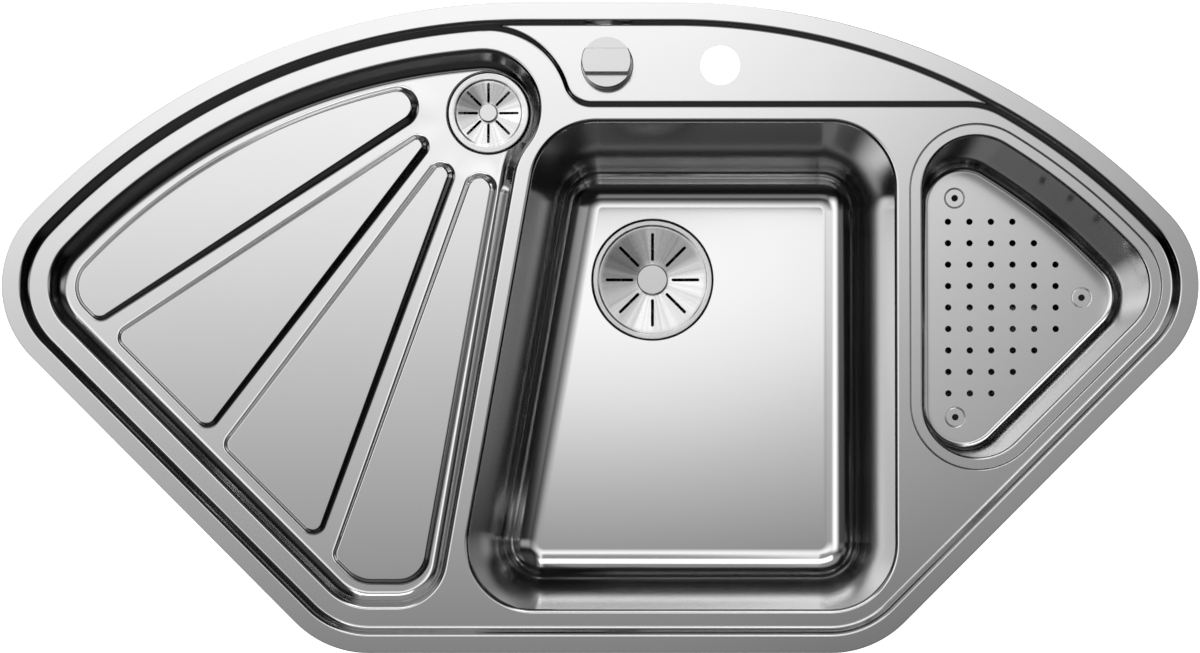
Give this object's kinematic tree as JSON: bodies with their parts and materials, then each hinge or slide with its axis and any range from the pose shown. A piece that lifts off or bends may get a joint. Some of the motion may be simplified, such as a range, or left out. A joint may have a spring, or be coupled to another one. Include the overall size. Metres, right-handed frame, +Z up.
{
  "type": "corner kitchen sink",
  "caption": "Inset corner kitchen sink in pressed steel: ribbed drainer tray with its own waste, deep main bowl, side bowl with a lift-out colander, tap ledge and waste control knob.",
  "frame": {"origin": "on the worktop plane (underside of the rim seal), at the middle of the rim's width and depth", "axes": "+X to the user's right, +Y to the corner at the back, +Z up out of the worktop"},
  "size_m": [1.0558, 0.575, 0.3595],
  "materials": {
    "pressed_stainless": "satin",
    "turned_stainless": "brushed",
    "knob_metal": "satin",
    "brass": "machined",
    "steel_fasteners": "zinc plated",
    "black_rubber": "matte",
    "bitumen_pad": "matte",
    "white_plastic": "moulded",
    "dark_plastic": "moulded"
  },
  "bodies": {
    "sink": {"sink_deck": "pressed_stainless", "tap_panel": "pressed_stainless", "tray_pan": "pressed_stainless", "rim_seal": "black_rubber", "main_bowl": "pressed_stainless", "side_bowl": "pressed_stainless", "main_sound_pad": "bitumen_pad", "side_sound_pad": "bitumen_pad", "main_flange": "turned_stainless", "main_gasket": "black_rubber", "main_waste_body": "white_plastic", "lift_housing": "dark_plastic", "drainer_flange": "turned_stainless", "drainer_gasket": "black_rubber", "drainer_waste_body": "white_plastic", "drainer_screw": "steel_fasteners", "side_grid": "turned_stainless", "side_gasket": "black_rubber", "side_waste_body": "white_plastic", "side_screw": "steel_fasteners", "pipe_main": "white_plastic", "pipe_drainer": "white_plastic", "pipe_side": "white_plastic", "tailpipe": "white_plastic", "outlet_junction": "white_plastic", "compression_nuts": "white_plastic", "cone_seals": "black_rubber", "knob_base": "knob_metal", "knob_housing": "brass", "knob_washer": "black_rubber", "knob_nut": "brass", "cable_case": "dark_plastic", "cable_case_cover": "dark_plastic", "clamp_tabs": "steel_fasteners", "clamp_claws": "steel_fasteners", "clamp_screws": "steel_fasteners", "main_waste_screw_1": "steel_fasteners", "main_waste_screw_2": "steel_fasteners", "main_waste_screw_3": "steel_fasteners"},
    "control_knob": {"control_knob": "knob_metal", "knob_shaft": "brass", "cable_drum": "dark_plastic"},
    "lift_pin": {"lift_pin": "turned_stainless"},
    "main_basket": {"main_strainer": "turned_stainless", "main_strainer_hub": "turned_stainless", "main_strainer_skirt": "turned_stainless", "main_plug": "dark_plastic", "plug_seal": "black_rubber", "plug_stem": "turned_stainless"},
    "drainer_strainer": {"drainer_strainer": "turned_stainless", "drainer_strainer_hub": "turned_stainless", "drainer_strainer_skirt": "turned_stainless"},
    "colander": {"colander": "pressed_stainless", "colander_foot_1": "black_rubber", "colander_foot_2": "black_rubber", "colander_foot_3": "black_rubber"}
  },
  "joints": [
    {"name": "knob_turn", "type": "hinge", "parent": "sink", "child": "control_knob", "pos_m": [0.006, 0.232, 0.01], "axis": [0, 0, 1], "range_deg": [0, 90]},
    {"name": "pin_lift", "type": "slide", "parent": "sink", "child": "lift_pin", "axis": [0, 0, 1], "range_m": [0, 0.008]},
    {"name": "basket_lift", "type": "slide", "parent": "lift_pin", "child": "main_basket", "axis": [0, 0, 1], "range_m": [0, 0.24]},
    {"name": "drainer_strainer_lift", "type": "slide", "parent": "sink", "child": "drainer_strainer", "axis": [0, 0, 1], "range_m": [0, 0.04]},
    {"name": "colander_lift", "type": "slide", "parent": "sink", "child": "colander", "axis": [0, 0, 1], "range_m": [0, 0.135]}
  ],
  "couplings": [
    {"joint": "pin_lift", "follows": "knob_turn", "m_per_rad": 0.005092}
  ]
}
